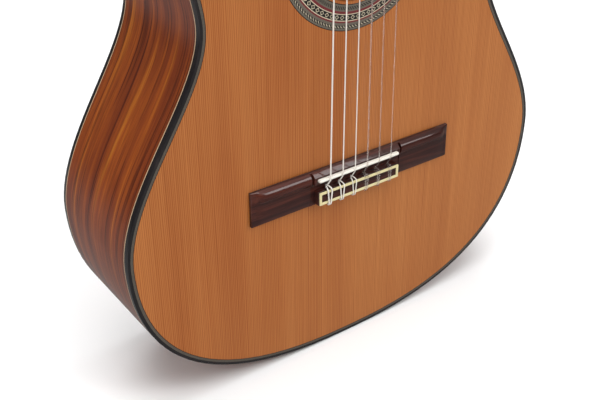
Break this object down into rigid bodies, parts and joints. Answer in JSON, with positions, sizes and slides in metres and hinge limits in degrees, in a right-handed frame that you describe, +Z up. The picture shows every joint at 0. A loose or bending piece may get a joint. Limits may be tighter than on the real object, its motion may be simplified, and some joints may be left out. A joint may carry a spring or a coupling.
{
  "type": "classical guitar",
  "caption": "Nylon-strung classical guitar with a cedar top, rosewood sides, tie bridge, slotted head and worm-geared tuners that turn.",
  "frame": {"origin": "on the outer face of the tail wedge, on the centre line, about half way through the body's depth", "axes": "+Z up the neck from tail to head, +X to the treble side, +Y from the soundboard to the back, so the soundboard faces -Y"},
  "size_m": [0.369, 0.1138, 0.9926],
  "materials": {
    "cedar_top": "gloss lacquer over straight-grained red cedar",
    "rosewood": "high-gloss lacquer over dark-streaked rosewood",
    "ebony": "black, satin to gloss",
    "cedar_neck": "satin lacquer over red-brown neck wood",
    "inner_wood": "bare, unfinished",
    "spruce": "bare, unfinished",
    "rosette_mosaic": "inlaid dyed wood rings under gloss lacquer",
    "bone": "polished bone white",
    "clear_nylon": "clear smooth nylon",
    "silver_wound": "fine silver-plated winding",
    "gilt_brass": "polished, lightly engraved gilt",
    "roller_metal": "polished, with a white sleeve on the barrel",
    "pearl_button": "pearl white, polished"
  },
  "bodies": {
    "guitar": {"soundboard": "cedar_top", "back_bass": "rosewood", "back_treble": "rosewood", "side_bass": "rosewood", "side_treble": "rosewood", "bridge": "rosewood", "head_veneer": "rosewood", "top_binding": "ebony", "back_binding": "ebony", "tail_wedge": "ebony", "heel_cap": "ebony", "fingerboard": "ebony", "neck": "cedar_neck", "headstock": "cedar_neck", "tail_block": "inner_wood", "neck_block": "inner_wood", "top_lining_bass": "inner_wood", "top_lining_treble": "inner_wood", "back_lining_bass": "inner_wood", "back_lining_treble": "inner_wood", "fan_brace_1": "spruce", "fan_brace_2": "spruce", "fan_brace_3": "spruce", "fan_brace_4": "spruce", "fan_brace_5": "spruce", "harmonic_bar_lower": "spruce", "harmonic_bar_upper": "spruce", "back_brace_1": "spruce", "back_brace_2": "spruce", "back_brace_3": "spruce", "rosette": "rosette_mosaic", "nut": "bone", "saddle": "bone", "tie_block_frame": "bone", "string_1": "clear_nylon", "string_2": "clear_nylon", "string_3": "clear_nylon", "string_4": "silver_wound", "string_5": "silver_wound", "string_6": "silver_wound", "tuner_plate_bass": "gilt_brass", "tuner_plate_treble": "gilt_brass"},
    "knob_6": {"tuner_worm_6": "gilt_brass", "tuner_button_6": "pearl_button"},
    "roller_6": {"tuner_roller_6": "roller_metal"},
    "knob_5": {"tuner_worm_5": "gilt_brass", "tuner_button_5": "pearl_button"},
    "roller_5": {"tuner_roller_5": "roller_metal"},
    "knob_4": {"tuner_worm_4": "gilt_brass", "tuner_button_4": "pearl_button"},
    "roller_4": {"tuner_roller_4": "roller_metal"},
    "knob_1": {"tuner_worm_1": "gilt_brass", "tuner_button_1": "pearl_button"},
    "roller_1": {"tuner_roller_1": "roller_metal"},
    "knob_2": {"tuner_worm_2": "gilt_brass", "tuner_button_2": "pearl_button"},
    "roller_2": {"tuner_roller_2": "roller_metal"},
    "knob_3": {"tuner_worm_3": "gilt_brass", "tuner_button_3": "pearl_button"},
    "roller_3": {"tuner_roller_3": "roller_metal"}
  },
  "joints": [
    {"name": "knob_turn_6", "type": "hinge", "parent": "guitar", "child": "knob_6", "pos_m": [-0.0408, -0.04024, 0.84871], "axis": [0, 0.9659, -0.2588], "continuous": true},
    {"name": "roller_turn_6", "type": "hinge", "parent": "guitar", "child": "roller_6", "pos_m": [0, -0.02888, 0.85633], "axis": [1, 0, 0], "continuous": true},
    {"name": "knob_turn_5", "type": "hinge", "parent": "guitar", "child": "knob_5", "pos_m": [-0.0408, -0.03118, 0.88252], "axis": [0, 0.9659, -0.2588], "continuous": true},
    {"name": "roller_turn_5", "type": "hinge", "parent": "guitar", "child": "roller_5", "pos_m": [0, -0.01982, 0.89014], "axis": [1, 0, 0], "continuous": true},
    {"name": "knob_turn_4", "type": "hinge", "parent": "guitar", "child": "knob_4", "pos_m": [-0.0408, -0.02212, 0.91633], "axis": [0, 0.9659, -0.2588], "continuous": true},
    {"name": "roller_turn_4", "type": "hinge", "parent": "guitar", "child": "roller_4", "pos_m": [0, -0.01077, 0.92395], "axis": [1, 0, 0], "continuous": true},
    {"name": "knob_turn_1", "type": "hinge", "parent": "guitar", "child": "knob_1", "pos_m": [0.0408, -0.04024, 0.84871], "axis": [0, 0.9659, -0.2588], "continuous": true},
    {"name": "roller_turn_1", "type": "hinge", "parent": "guitar", "child": "roller_1", "pos_m": [0, -0.02888, 0.85633], "axis": [1, 0, 0], "continuous": true},
    {"name": "knob_turn_2", "type": "hinge", "parent": "guitar", "child": "knob_2", "pos_m": [0.0408, -0.03118, 0.88252], "axis": [0, 0.9659, -0.2588], "continuous": true},
    {"name": "roller_turn_2", "type": "hinge", "parent": "guitar", "child": "roller_2", "pos_m": [0, -0.01982, 0.89014], "axis": [1, 0, 0], "continuous": true},
    {"name": "knob_turn_3", "type": "hinge", "parent": "guitar", "child": "knob_3", "pos_m": [0.0408, -0.02212, 0.91633], "axis": [0, 0.9659, -0.2588], "continuous": true},
    {"name": "roller_turn_3", "type": "hinge", "parent": "guitar", "child": "roller_3", "pos_m": [0, -0.01077, 0.92395], "axis": [1, 0, 0], "continuous": true}
  ],
  "couplings": [
    {"joint": "roller_turn_6", "follows": "knob_turn_6", "ratio": -0.071429},
    {"joint": "roller_turn_5", "follows": "knob_turn_5", "ratio": -0.071429},
    {"joint": "roller_turn_4", "follows": "knob_turn_4", "ratio": -0.071429},
    {"joint": "roller_turn_1", "follows": "knob_turn_1", "ratio": -0.071429},
    {"joint": "roller_turn_2", "follows": "knob_turn_2", "ratio": -0.071429},
    {"joint": "roller_turn_3", "follows": "knob_turn_3", "ratio": -0.071429}
  ]
}
